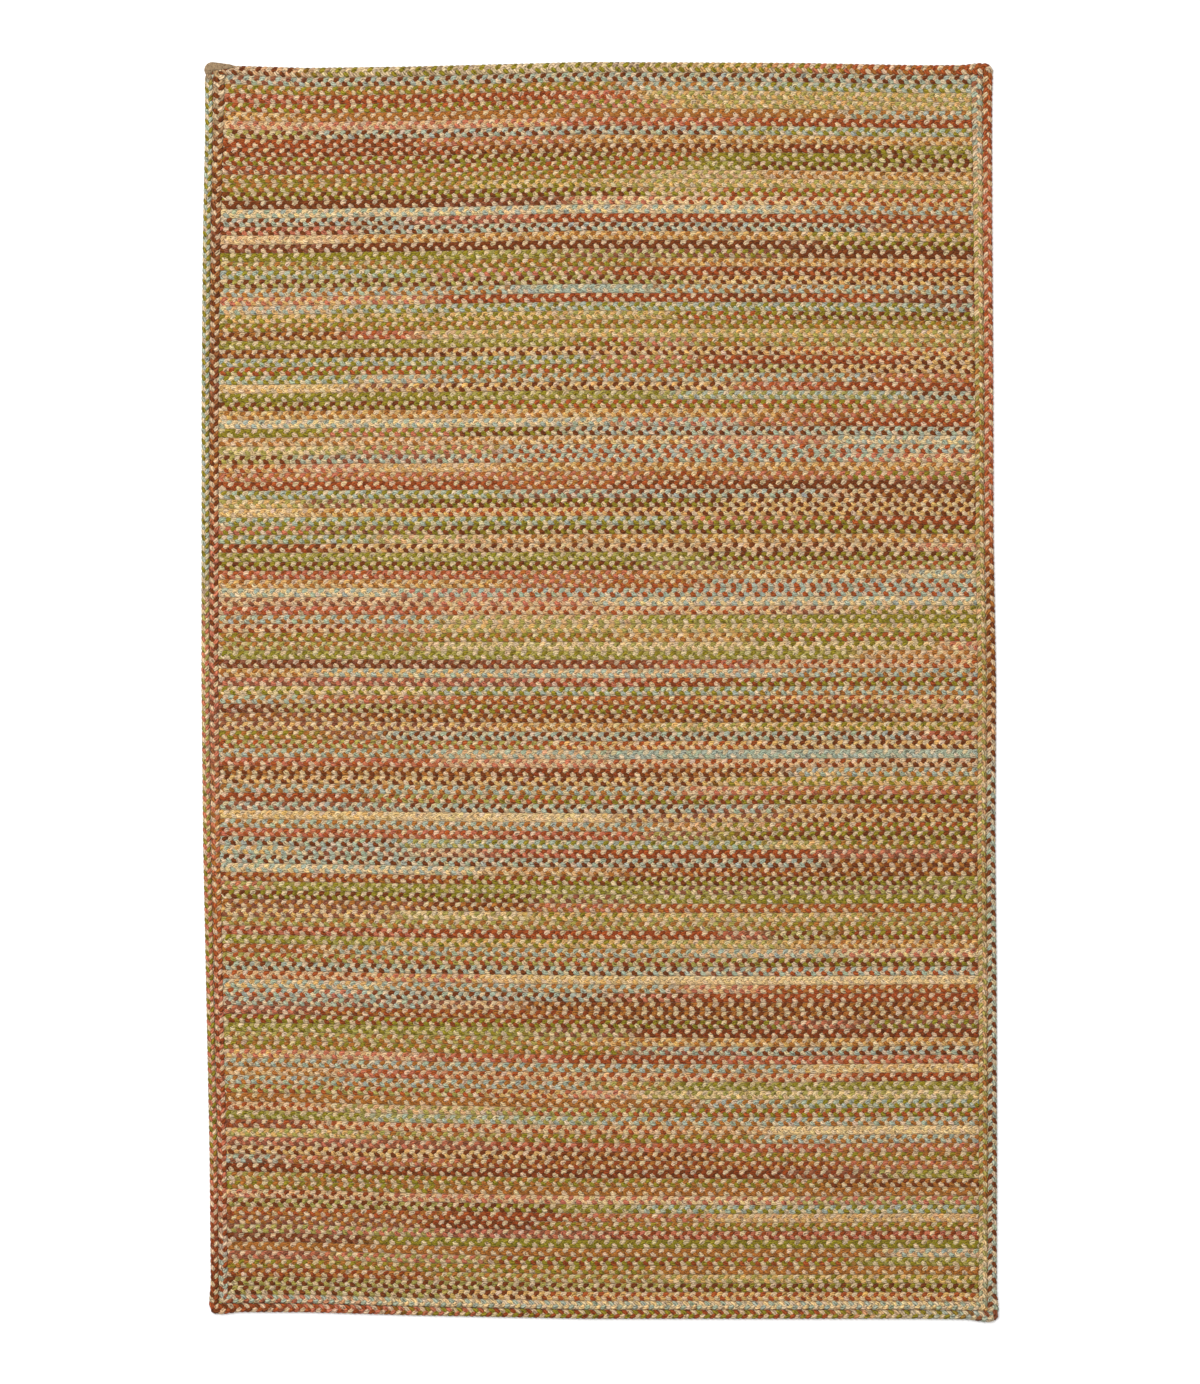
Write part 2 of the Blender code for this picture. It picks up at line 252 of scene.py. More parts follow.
def line(number, x):
    """y of a line between two braids, or of a share of the way between two lines."""
    head = LENGTH / 2 + column(ACROSS, x, HEAD_OUT)
    foot = -LENGTH / 2 - column(ACROSS, x, FOOT_OUT)
    return head + (foot - head) * number / FOOT_LINE - column(DRIFT, number, DRIFTED) - sway(number, x)


def seam(side, ring, y):
    """x of a seam along the left (-1) or right (1) side: 0 is the edge, 1 lies between the two border
    braids and 2 between the inner one and the field."""
    out = WIDTH / 2 + column(ALONG, y, LEFT_OUT if side < 0 else RIGHT_OUT)
    if ring > 0:
        out = out - OUTER_WIDTH[side]
    if ring > 1:
        out = out - column(ALONG, y, INNER_WIDTH)
    return side * out


def meeting(side, ring, number):
    """The point where a side's seam meets a line."""
    x = side * WIDTH / 2
    for _ in range(4):
        y = line(number, x)
        x = seam(side, ring, y)
    return Vector((x, y))


# ---- Materials -------------------------------------------------------------------------------------

def linear(text):
    """A hex sRGB colour as linear RGB."""
    parts = [int(text[at:at + 2], 16) / 255 for at in (1, 3, 5)]
    return [part / 12.92 if part <= 0.04045 else ((part + 0.055) / 1.055) ** 2.4 for part in parts]


def add(tree, kind, settings=None, inputs=None):
    """A node with its settings, and its inputs as values or as the sockets that are linked to them."""
    node = tree.nodes.new(kind)
    for name, value in (settings or {}).items():
        setattr(node, name, value)
    for name, value in (inputs or {}).items():
        if isinstance(value, bpy.types.NodeSocket):
            tree.links.new(value, node.inputs[name])
        else:
            node.inputs[name].default_value = value
    return node


def started(name):
    """A new material, its tree and its surface shader."""
    material = bpy.data.materials.new(name)
    material.use_nodes = True
    tree = material.node_tree
    return material, tree, tree.nodes["Principled BSDF"]


def wool_with_crease_shade(tree, shader, yarn, streak, ply, bump_height):
    """Finishes a shader as matte spun wool: yarn of a given colour, with paler and darker ends laid in
    by one 0 to 1 pattern, and its ply drawn by another, as bump and as painted shade where it is low."""
    place = add(tree, "ShaderNodeTexCoord").outputs["Object"]
    # A fleck is 2.3 mm wide, and makes the ends by up to 0.3 paler or darker.
    fleck = add(tree, "ShaderNodeTexNoise",
                inputs={"Vector": place, "Scale": 430, "Detail": 2.0}).outputs["Fac"]
    flecked = add(tree, "ShaderNodeMath", {"operation": "MULTIPLY_ADD"}, {0: fleck, 1: 0.6, 2: -0.3})
    tone = add(tree, "ShaderNodeMath", {"operation": "ADD"}, {0: streak, 1: flecked.outputs[0]})
    pale = add(tree, "ShaderNodeMapRange", inputs={
        "Value": tone.outputs[0], "From Min": 0.53, "From Max": 0.75, "To Min": 0.0, "To Max": 0.55})
    dark = add(tree, "ShaderNodeMapRange", inputs={
        "Value": tone.outputs[0], "From Min": 0.47, "From Max": 0.25, "To Min": 0.0, "To Max": 0.72})
    lighter = add(tree, "ShaderNodeMix", {"data_type": "RGBA", "blend_type": "MULTIPLY"},
                  {"Factor": pale.outputs["Result"], "A": yarn, "B": (1.6, 1.58, 1.56, 1)})
    darker = add(tree, "ShaderNodeMix", {"data_type": "RGBA"}, {
        "Factor": dark.outputs["Result"], "A": lighter.outputs["Result"], "B": (*linear("#3a2110"), 1)})
    # Where the ply pattern is low, the colour is darkened to 0.54 of itself. On the strands this is
    # painted shade in the creases between the ends, and below it is painted shade between the lobes. On
    # the bound end, whose pattern is its felted patches, it is random tone.
    ply_shade = add(tree, "ShaderNodeMapRange", inputs={
        "Value": ply, "From Min": 0.0, "From Max": 0.6, "To Min": 0.54, "To Max": 1.08})
    shaded = add(tree, "ShaderNodeMix", {"data_type": "RGBA", "blend_type": "MULTIPLY"},
                 {"Factor": 1.0, "A": darker.outputs["Result"], "B": ply_shade.outputs["Result"]})
    tree.links.new(shaded.outputs["Result"], shader.inputs["Base Color"])
    relief = add(tree, "ShaderNodeMath", {"operation": "MULTIPLY_ADD"}, {0: fleck, 1: 0.35, 2: ply})
    bump = add(tree, "ShaderNodeBump",
               inputs={"Strength": 0.7, "Distance": bump_height, "Height": relief.outputs[0]})
    tree.links.new(bump.outputs["Normal"], shader.inputs["Normal"])
    rough = add(tree, "ShaderNodeMapRange", inputs={
        "Value": fleck, "From Min": 0.2, "From Max": 0.8, "To Min": 1.0, "To Max": 0.86})
    tree.links.new(rough.outputs["Result"], shader.inputs["Roughness"])
    shader.inputs["Specular IOR Level"].default_value = 0.1
    shader.inputs["Sheen Weight"].default_value = 0.04
    shader.inputs["Sheen Roughness"].default_value = 0.6


def strand_wool():
    """Spun wool-blend yarn, several ends laid together into a soft strand: matte, heathered by paler
    and darker ends that run along it, with the ends' slant as fine lines across, drawn as bump and as
    painted shade in the creases between the ends."""
    material, tree, shader = started("space_dyed_wool_strand")
    yarn = add(tree, "ShaderNodeAttribute", {"attribute_name": "yarn"}).outputs["Color"]
    place = add(tree, "ShaderNodeUVMap", {"uv_map": "Strand"}).outputs["UV"]
    slant = (0, 0, math.radians(14))
    # The map is in metres. A paler or darker end shows for about 10 mm and is 3 mm wide.
    drawn = add(tree, "ShaderNodeMapping",
                inputs={"Vector": place, "Rotation": slant, "Scale": (0.35, 1.0, 1.0)})
    streak = add(tree, "ShaderNodeTexNoise", {"noise_dimensions": "2D"},
                 {"Vector": drawn.outputs["Vector"], "Scale": 300, "Detail": 1.0})
    tilted = add(tree, "ShaderNodeMapping", inputs={"Vector": place, "Rotation": slant})
    # At scale 1 this texture has a band every 0.05 * 2 * pi.
    # The bands raise the bump and darken the yarn between them: painted shade in the creases between its
    # ends.
    ends = add(tree, "ShaderNodeTexWave", {"wave_profile": "SIN", "bands_direction": "Y"},
               {"Vector": tilted.outputs["Vector"], "Scale": 0.05 * 2 * math.pi / END_THICK,
                "Distortion": 1.5, "Detail": 1.0, "Detail Scale": 250})
    wool_with_crease_shade(tree, shader, yarn, streak.outputs["Fac"], ends.outputs["Fac"], bump_height=0.0005)
    return material


def binding_wool():
    """The bound end: the braid worked smooth and tapered, its three strands felted to one tan heather
    surface. Its patches are 6 mm wide, and the fibres' clumps 2 mm."""
    material, tree, shader = started("felted_wool_end")
    place = add(tree, "ShaderNodeTexCoord").outputs["Object"]
    patch = add(tree, "ShaderNodeTexNoise", inputs={"Vector": place, "Scale": 160, "Detail": 3.0})
    yarn = add(tree, "ShaderNodeMix", {"data_type": "RGBA"}, {
        "Factor": patch.outputs["Fac"], "A": (*linear("#74614a"), 1), "B": (*linear("#917a5c"), 1)})
    fibre = add(tree, "ShaderNodeTexNoise", inputs={"Vector": place, "Scale": 480, "Detail": 2.0})
    wool_with_crease_shade(tree, shader, yarn.outputs["Result"], fibre.outputs["Fac"], patch.outputs["Fac"],
              bump_height=0.0008)
    return material


def underside_wool():
    """The same wool seen from below, where the braids lie pressed on the floor. The three strands are
    told apart by their place along the braid and across it."""
    material, tree, shader = started("braided_wool_underside")
    place = add(tree, "ShaderNodeUVMap", {"uv_map": "Braid"}).outputs["UV"]
    parts = add(tree, "ShaderNodeSeparateXYZ", inputs={"Vector": place})
    across = add(tree, "ShaderNodeMath", {"operation": "FRACT"}, {0: parts.outputs["Y"]}).outputs[0]
    far = add(tree, "ShaderNodeMath", {"operation": "GREATER_THAN"}, {0: across, 1: 0.5})
    off = add(tree, "ShaderNodeMath", {"operation": "SUBTRACT"}, {0: across, 1: 0.5})
    aside = add(tree, "ShaderNodeMath", {"operation": "ABSOLUTE"}, {0: off.outputs[0]})
    # A strand leans by 0.85 of a lobe on its way from the braid's side to its middle, and the far
    # side's lobes lie half a turn on from the near side's.
    leaned = add(tree, "ShaderNodeMath", {"operation": "MULTIPLY_ADD"},
                 {0: aside.outputs[0], 1: -1.7, 2: parts.outputs["X"]})
    shifted = add(tree, "ShaderNodeMath", {"operation": "MULTIPLY_ADD"},
                  {0: far.outputs[0], 1: STRANDS / 2, 2: leaned.outputs[0]}).outputs[0]
    lobe = add(tree, "ShaderNodeMath", {"operation": "FRACT"}, {0: shifted})
    whole = add(tree, "ShaderNodeMath", {"operation": "FLOOR"}, {0: shifted})
    strand = add(tree, "ShaderNodeMath", {"operation": "WRAP"},
                 {0: whole.outputs[0], 1: STRANDS, 2: 0}).outputs[0]
    colour = (*linear(YARNS["W"]), 1)
    for name, least in (("yarn_first", 0.5), ("yarn_second", 1.5)):
        dyed = add(tree, "ShaderNodeAttribute", {"attribute_name": name})
        is_dyed = add(tree, "ShaderNodeMath", {"operation": "GREATER_THAN"}, {0: strand, 1: least})
        colour = add(tree, "ShaderNodeMix", {"data_type": "RGBA"}, {
            "Factor": is_dyed.outputs[0], "A": colour, "B": dyed.outputs["Color"]}).outputs["Result"]
    # The lobe's crown is highest in its middle. Through the ply input it raises the bump and darkens each
    # lobe towards its ends, as painted shade where one strand dives under the next.
    angle = add(tree, "ShaderNodeMath", {"operation": "MULTIPLY"}, {0: lobe.outputs[0], 1: math.pi})
    crown = add(tree, "ShaderNodeMath", {"operation": "SINE"}, {0: angle.outputs[0]})
    object_place = add(tree, "ShaderNodeTexCoord").outputs["Object"]
    # A paler or darker end is 3 mm wide.
    streak = add(tree, "ShaderNodeTexNoise", inputs={"Vector": object_place, "Scale": 300, "Detail": 1.0})
    wool_with_crease_shade(tree, shader, colour, streak.outputs["Fac"], crown.outputs[0], bump_height=0.0012)
    return material


def thread_polyester():
    """Spun polyester sewing thread, 0.8 mm thick: a plain tan line deep in the seams, with its fibres'
    clumps 1 mm wide."""
    material, tree, shader = started("spun_polyester_thread")
    place = add(tree, "ShaderNodeTexCoord").outputs["Object"]
    fibre = add(tree, "ShaderNodeTexNoise",
                inputs={"Vector": place, "Scale": 900, "Detail": 1.0}).outputs["Fac"]
    tone = add(tree, "ShaderNodeValToRGB", inputs={"Fac": fibre})
    tone.color_ramp.elements[0].color = (*linear("#8a6c4c"), 1)
    tone.color_ramp.elements[1].color = (*linear("#b39470"), 1)
    tree.links.new(tone.outputs["Color"], shader.inputs["Base Color"])
    bump = add(tree, "ShaderNodeBump", inputs={"Strength": 0.5, "Distance": 0.0002, "Height": fibre})
    tree.links.new(bump.outputs["Normal"], shader.inputs["Normal"])
    shader.inputs["Roughness"].default_value = 0.7
    return material


# ---- Meshes from arrays ----------------------------------------------------------------------------

def grid(along, across):
    """A flat grid from bmesh with its corners at 0 and 1: its points, and its quads' corners."""
    bm = bmesh.new()
    bmesh.ops.create_grid(bm, x_segments=along, y_segments=across, size=0.5)
    points = np.array([vert.co for vert in bm.verts])[:, :2] + 0.5
    quads = np.array([[vert.index for vert in face.verts] for face in bm.faces])
    bm.free()
    return points, quads


def tube(along, around):
    """A tube's skin as such a grid, closed round its side and at both ends: its points, its quads'
    corners, and the place of each corner on the grid."""
    points, quads = grid(along, around)
    places = points[quads]
    column, row = np.rint(points * (along, around)).astype(int).T
    number = column * around + row % around
    kept = np.zeros(((along + 1) * around, 2))
    kept[number[row < around]] = points[row < around]
    # The faces that close its ends have their places within the first ring's and the last one's.
    inset = np.array([(0.2, 0.2), (0.8, 0.2), (0.8, 0.8), (0.2, 0.8)]) / (along, 1)
    caps, cap_places = [], []
    for first in range(1, around - 1, 2):
        cap = np.array([0, first, first + 1, first + 2])
        caps += [cap, along * around + cap[::-1]]
        cap_places += [inset, inset + (1 - 1 / along, 0)]
    return kept, np.concatenate([number[quads], caps]), np.concatenate([places, cap_places])


def joined(name, points, quads, material):
    """One smooth mesh object from points and quads."""
    mesh = bpy.data.meshes.new(name)
    mesh.vertices.add(len(points))
    mesh.vertices.foreach_set("co", points.astype(np.float32).ravel())
    mesh.loops.add(quads.size)
    mesh.loops.foreach_set("vertex_index", quads.astype(np.int32).ravel())
    mesh.polygons.add(len(quads))
    mesh.polygons.foreach_set("loop_start", np.arange(0, quads.size, 4, dtype=np.int32))
    mesh.update(calc_edges=True)
    mesh.shade_smooth()
    mesh.materials.append(material)
    obj = bpy.data.objects.new(name, mesh)
    bpy.context.scene.collection.objects.link(obj)
    return obj


def built(name, bm, material):
    """An object from a finished bmesh."""
    mesh = bpy.data.meshes.new(name)
    bm.to_mesh(mesh)
    bm.free()
    mesh.materials.append(material)
    obj = bpy.data.objects.new(name, mesh)
    bpy.context.scene.collection.objects.link(obj)
    return obj


def painted(obj, name, colours, domain="POINT"):
    """A colour for every point or every face corner, as an attribute."""
    attribute = obj.data.color_attributes.new(name, "FLOAT_COLOR", domain)
    whole = np.concatenate([colours, np.ones((len(colours), 1))], axis=1)
    attribute.data.foreach_set("color", whole.astype(np.float32).ravel())


def mapped(obj, name, places):
    """A UV map from a place for every face corner."""
    layer = obj.data.uv_layers.new(name=name)
    layer.uv.foreach_set("vector", places.astype(np.float32).ravel())


SQUARE_MARGIN = 0.08  # left free on each side of a square, so that no colour runs into the next one


def squares(obj, cell, local):
    """A map in which each cell's faces have their own small square, from each face corner's cell and its
    place in it."""
    side = math.ceil(math.sqrt(cell.max() + 1))
    corner = np.stack([cell % side, cell // side], axis=1)
    mapped(obj, "OFBake", (corner + SQUARE_MARGIN + local * (1 - 2 * SQUARE_MARGIN)) / side)


# ---- Strands ---------------------------------------------------------------------------------------

def strand_middle(angle):
    """A strand's middle at an angle of its turn, as (across, up), from the braid's own middle."""
    swing = (np.cos(angle) - STEEPNESS * np.cos(3 * angle)) / (1 - STEEPNESS)
    return -SWING * swing, LIFT * np.sin(2 * angle)


def strand_point(angle, round_angle):
    """A point of a strand's skin as (along, across, up) from the braid's middle where the strand's turn
    began. The strand runs with growing angle, and its cross-section is a flattened round."""
    across, up = strand_middle(angle)
    run = PERIOD / (2 * math.pi)
    rise = SWING * (np.sin(angle) - 3 * STEEPNESS * np.sin(3 * angle)) / (1 - STEEPNESS)
    length = np.hypot(run, rise)
    aside = STRAND_WIDTH / 2 * np.cos(round_angle)
    return (
        angle * run - aside * rise / length,
        across + aside * run / length,
        up + STRAND_THICK / 2 * np.sin(round_angle),
    )


BRIGHTNESS_SPREAD = 0.06  # of lobes of the same yarn
COLOUR_SPREAD = (0.025, 0.025, 0.06)


def tints(rng, count):
    """How much lobes differ from their yarn's mean colour."""
    return rng.normal(1.0, BRIGHTNESS_SPREAD, (count, 1)) * rng.normal(1.0, COLOUR_SPREAD, (count, 3))


def smooth(share):
    """A share from 0 to 1, starting and ending gently."""
    share = np.clip(share, 0, 1)
    return share * share * (3 - 2 * share)


# ---- The field -------------------------------------------------------------------------------------

FIELD_ROWS = FIELD_LAST - FIELD_FIRST
FIELD_PANELS = 8
LOBE_ALONG, LOBE_ACROSS = 3, 3
LOBE_START, LOBE_END = -0.22 * math.pi, 0.60 * math.pi  # the turn in which a strand shows on top
LOBE_SKIN = STRAND_WIDTH * 1.4  # the way over a lobe, from one of its sides to the other
LOBE_TAPER = 0.22  # how much narrower a lobe is at its ends
LOBE_PLACE = math.pi / 3  # where in its turn a lobe has its place
LOBE_LENGTHS, LOBE_WIDTHS, LOBE_HEIGHTS = (0.90, 1.10), (1.02, 1.18), (0.88, 1.06)  # least and most
LOBE_SLIP = 0.0005  # how far a lobe lies off its place
LOBE_OVER = PITCH * 0.2  # how far past the field's sides a lobe's place may be
LOBE_TUCK = 0.0015  # how far a lobe reaches in under the border
MAP_STEP = np.array([0.0137, 0.0071])  # from a lobe's place on the map to the next one's
PITCHES = (0.985, 1.015)  # the least and the most that a braid has, in usual ones
CHANGE = 0.06  # the length in which a yarn's colour changes
CHANGE_SPREAD = 0.02  # how far off its place a dyed strand changes
SHED = 0.18  # how much of its neighbours' colour a wheat lobe takes on


def field_chart():
    """For each field braid, its chart's places and its two yarns as lists of names. A yarn that a braid
    has on both sides of a place is the same yarn."""
    rows = []
    for entry in FIELD_YARNS.split():
        pairs = [entry[at:at + 2] for at in range(0, len(entry), 4)]
        places = [(int(entry[at:at + 2]) - CHART_MIDDLE) * CHART_STEP for at in range(2, len(entry), 4)]
        for index, (before, after) in enumerate(zip(pairs, pairs[1:]), start=1):
            if before[0] == after[1] or before[1] == after[0]:
                pairs[index] = after[::-1]
        rows.append((places, list(zip(*pairs))))
    return rows


def field_yarn_rows(rng):
    """For each field braid and each of its strands: the colours, and the places where they change."""
    chart = field_chart()
    most = max(len(places) for places, _ in chart)
    colours = np.zeros((FIELD_ROWS, STRANDS, most + 1, 3))
    changes = np.full((FIELD_ROWS, STRANDS, most), WIDTH)
    for row, (places, pair) in enumerate(chart):
        for strand, names in enumerate(pair, start=1):
            colours[row, strand] = linear(YARNS[names[-1]])
            colours[row, strand, :len(names)] = [linear(YARNS[name]) for name in names]
            off = rng.uniform(-CHANGE_SPREAD, CHANGE_SPREAD, len(places))
            changes[row, strand, :len(places)] = places + off
        changes[row, 0, :len(places)] = places
    # The wheat lobes are covered by some fibres of their neighbours.
    colours[:, 0] = np.array(linear(YARNS["W"])) * (1 - SHED) + colours[:, 1:].mean(axis=1) * SHED
    return colours, changes


def yarn_at(colours, changes, row, strand, x):
    """The yarn's colour at places of the field."""
    passed = smooth((x[:, None] - changes[row, strand]) / CHANGE + 0.5)
    own = colours[row, strand]
    return own[:, 0] + ((own[:, 1:] - own[:, :-1]) * passed[:, :, None]).sum(axis=1)


def field_lobes(rng):
    """Every lobe of the field: its row, its side of the braid (-1 to the head), its strand and its x."""
    rows, sides, strands, places = [], [], [], []
    for row in range(FIELD_ROWS):
        middle = FIELD_FIRST + row + 0.5
        left, right = (meeting(side, 2, middle).x for side in (-1, 1))
        pitch = PITCH * rng.uniform(*PITCHES)
        begin = left - PITCH * rng.uniform(0, STRANDS)
        count = int((right - begin) / pitch) + STRANDS
        for side, shift in ((-1, 0.0), (1, STRANDS / 2)):
            number = np.arange(count)
            place = begin + (number + shift) * pitch
            inside = (place > left - LOBE_OVER) & (place < right + LOBE_OVER)
            rows.append(np.full(inside.sum(), row))
            sides.append(np.full(inside.sum(), side))
            strands.append((number % STRANDS)[inside])
            places.append(place[inside])
    return [np.concatenate(part) for part in (rows, sides, strands, places)]


def field(material):
    """The field's strands as lobes, where they come over from a braid's side to its middle."""
    rng = np.random.default_rng(SEED)
    points, quads = grid(LOBE_ALONG, LOBE_ACROSS)
    rows, sides, strands, places = field_lobes(rng)
    colours, changes = field_yarn_rows(rng)
    count = len(rows)
    turn = LOBE_START + (LOBE_END - LOBE_START) * points[:, 0]
    skin = math.pi * (1 - points[:, 1])
    along, across, up = strand_point(turn, skin)
    ends = np.abs(points[:, 0] - 0.5) * 2
    thinner = 1 - LOBE_TAPER * ends ** 2
    middle_across, _ = strand_middle(turn)
    run = PERIOD / (2 * math.pi)
    along = (turn - LOBE_PLACE) * run + (along - turn * run) * thinner
    across = middle_across + (across - middle_across) * thinner
    long, wide, tall = (rng.uniform(*sizes, count) for sizes in (LOBE_LENGTHS, LOBE_WIDTHS, LOBE_HEIGHTS))
    slip = rng.normal(0, LOBE_SLIP, count)
    # The braid was plaited towards -x, so that a strand's turn grows that way.
    x = (places + slip)[:, None] - along[None, :] * long[:, None]
    y_share = 0.5 + sides[:, None] * -across[None, :] * wide[:, None] / BRAID_WIDTH
    number = FIELD_FIRST + rows[:, None] + y_share
    y = line(number, x)
    left, right = (seam(side, 2, y) + side * LOBE_TUCK for side in (-1, 1))
    x = np.clip(x, left, right)
    y = line(number, x)
    z = THICKNESS / 2 + up[None, :] * tall[:, None]
    shade = yarn_at(colours, changes, rows, strands, places) * tints(rng, count)
    panel_edges = np.linspace(-WIDTH / 2, WIDTH / 2, FIELD_PANELS + 1)[1:-1]
    panel = np.searchsorted(panel_edges, places)
    made = []
    for index in range(FIELD_PANELS):
        chosen = np.flatnonzero(panel == index)
        own = np.stack([x[chosen], y[chosen], z[chosen]], axis=2).reshape(-1, 3)
        starts = np.arange(len(chosen))[:, None, None] * len(points)
        faces = (quads[None] + starts).reshape(-1, 4)
        # The lobes of a braid's foot side are mirrored, which turns their faces over.
        mirrored = np.repeat(sides[chosen] > 0, len(quads))
        faces[mirrored] = faces[mirrored][:, ::-1]
        obj = joined(f"field_strands_{index + 1}", own, faces, material)
        painted(obj, "yarn", np.repeat(shade[chosen], len(points), axis=0))
        corner = faces.ravel() % len(points)
        cell = np.repeat(np.arange(len(chosen)), quads.size)
        real = points[corner] * ((LOBE_END - LOBE_START) * run * OWN_WAY, LOBE_SKIN)
        mapped(obj, "Strand", real + cell[:, None] * MAP_STEP % 1.0)
        squares(obj, cell, points[corner])
        made.append(obj)
    return made


# ---- The border ------------------------------------------------------------------------------------

def widened(width, at, ears):
    """A run's width, where it widens smoothly into each (place, reach) of its ears."""
    for place, reach in ears:
        share = max(0.0, 1 - abs(at - place) / FLARE)
        width += (reach - width) * share * share * (3 - 2 * share)
    return width


def stations(table, start, end, ears=()):
    """Where a run has its sections between its ends."""
    places = [row[0] for row in table]
    places += [place + way * FLARE * part for place, _ in ears for part in FLARE_PARTS for way in (-1, 1)]
    low, high = sorted((start, end))
    found = sorted(at for at in places if low < at < high)
    return found if start < end else found[::-1]


def side_way(name, side, ring, start, end, ears=()):
    """A run along a side as (name, place, inner point, outer point)."""
    way = []
    for y in stations(ALONG, start, end, ears):
        inner = float(seam(side, ring + 1, y))
        width = widened(abs(float(seam(side, ring, y)) - inner), y, ears)
        way.append((name, y, Vector((inner, y)), Vector((inner + side * width, y))))
    return way


def edge_way(name, inner_line, outer_line, start, end, ears=(), cut=lambda x: 0.0):
    """A run along the head or the foot edge, likewise."""
    up = 1 if outer_line < inner_line else -1
    way = []
    for x in stations(ACROSS, start, end, ears):
        inner = float(line(inner_line, x))
        width = widened(abs(float(line(outer_line, x)) - inner), x, ears) - cut(x)
        way.append((name, x, Vector((x, inner)), Vector((x, inner + up * width))))
    return way


def turned(name, place, pivot, reach, before, after, bulge):
    """A turn round a pivot, from one way out to another. The bulge is how far it fills its corner."""
    way = []
    for step in range(CORNER_STEPS + 1):
        share = step / CORNER_STEPS
        angle = share * math.pi / 2
        out = before * math.cos(angle) + after * math.sin(angle)
        far = (reach[0] + (reach[1] - reach[0]) * share) * (1 + bulge * math.sin(2 * angle) ** 2)
        way.append((name, place, pivot, pivot + out * far))
    return way


def border_way():
    """The border braid's whole way, from its cut end under the head row to its bound end over the
    head-left corner."""
    edge_corner = meeting(-1, 1, HEAD_LINE)
    bound_corner = edge_corner + DOWN * TAIL_WIDTH
    row_corner = edge_corner + DOWN * TAIL_WIDTH * HEAD_YIELD

    def bound(x):
        """The bound end's width on the head row."""
        share = min(max((x - bound_corner.x) / TAIL_LENGTH, 0.0), 1.0)
        return TAIL_WIDTH + (TAIL_TIP - TAIL_WIDTH) * share

    def cut(x):
        """What the head row gives up of its width to the bound end that lies on it."""
        share = (x - bound_corner.x) / TAIL_LENGTH
        return TAIL_WIDTH * HEAD_YIELD * (1 - float(smooth(share)))

    way = []
    inner, outer = (meeting(1, ring, FIELD_FIRST) for ring in (2, 1))
    way.append(("inner_right", inner.y, inner, outer))

    turn, corner = meeting(1, 2, FIELD_LAST), meeting(1, 1, INNER_FOOT)
    way += side_way("inner_right", 1, 1, inner.y, turn.y)
    reach = (corner - turn).dot(RIGHT), (corner - turn).dot(DOWN)
    way += turned("inner_foot", turn.x, turn, reach, RIGHT, DOWN, CORNER_FILL)

    start, turn, corner = turn.x, meeting(-1, 2, FIELD_LAST), meeting(-1, 1, INNER_FOOT)
    way += edge_way("inner_foot", FIELD_LAST, INNER_FOOT, start, turn.x)
    reach = (corner - turn).dot(DOWN), (corner - turn).dot(LEFT)
    way += turned("inner_left", turn.y, turn, reach, DOWN, LEFT, CORNER_FILL)

    start, turn = turn.y, meeting(-1, 2, FIELD_FIRST)
    way += side_way("inner_left", -1, 1, start, turn.y)
    reach = (row_corner - turn).dot(LEFT), float(line(HEAD_LINE, turn.x)) - turn.y - cut(turn.x)
    way += turned("head", turn.x, turn, reach, LEFT, UP, CORNER_FILL)

    start, turn = turn.x, meeting(1, 1, FIELD_FIRST)
    ears = [(turn.x, EARS["head_right"][0])]
    way += edge_way("head", FIELD_FIRST, HEAD_LINE, start, turn.x, ears, cut)
    way += turned("right", turn.y, turn, EARS["head_right"], UP, RIGHT, EAR_FILL)

    start, turn = turn.y, meeting(1, 1, INNER_FOOT)
    ears = [(start, EARS["head_right"][1]), (turn.y, EARS["foot_right"][0])]
    way += side_way("right", 1, 0, start, turn.y, ears)
    way += turned("foot", turn.x, turn, EARS["foot_right"], RIGHT, DOWN, EAR_FILL)

    start, turn = turn.x, meeting(-1, 1, INNER_FOOT)
    ears = [(start, EARS["foot_right"][1]), (turn.x, EARS["foot_left"][0])]
    way += edge_way("foot", INNER_FOOT, FOOT_LINE, start, turn.x, ears)
    way += turned("left", turn.y, turn, EARS["foot_left"], DOWN, LEFT, EAR_FILL)

    start, turn = turn.y, bound_corner
    ears = [(start, EARS["foot_left"][1]), (turn.y, EARS["tail"][0])]
    way += side_way("left", -1, 0, start, turn.y, ears)
    way += turned("tail", turn.y, turn, EARS["tail"], LEFT, UP, TAIL_FILL)
    for step in range(1, TAIL_STEPS + 1):
        x = turn.x + TAIL_LENGTH * step / TAIL_STEPS
        inner = float(line(HEAD_LINE, x)) - bound(x)
        width = EARS["tail"][1] + (TAIL_TIP - EARS["tail"][1]) * step / TAIL_STEPS
        way.append(("tail", x, Vector((x, inner)), Vector((x, inner + width))))
    return way


def way_lengths(way):
    """How far along the border braid each of its sections lies, measured in its middle."""
    middles = [inner.lerp(outer, 0.5) for _, _, inner, outer in way]
    steps = [(after - before).length for before, after in zip(middles, middles[1:])]
    return np.concatenate([[0.0], np.cumsum(steps)])


def border_yarns(way, lengths):
    """The two dyed yarns' colours at lengths along the border braid."""
    at, first, second = [], [], []
    for name, place, pair in [(name, *entry) for name, row in BORDER_YARNS.items() for entry in row]:
        own = [(entry[1], length) for entry, length in zip(way, lengths) if entry[0] == name]
        near = min(own, key=lambda entry: abs(entry[0] - place))
        others = [entry for entry in own if (entry[0] - place) * (near[0] - place) < 0]
        length = near[1]
        if others:
            other = min(others, key=lambda entry: abs(entry[0] - place))
            length += (other[1] - near[1]) * (place - near[0]) / (other[0] - near[0])
        else:
            # It lies past the run's last section, on the way to the next turn. The border's way is
            # reversed here, so that lengths there are less.
            length -= abs(place - near[0])
        at.append(length)
        first.append(linear(YARNS[pair[0]]))
        second.append(linear(YARNS[pair[1]]))
    order = np.argsort(at)
    return np.array(at)[order], np.array(first)[order], np.array(second)[order]


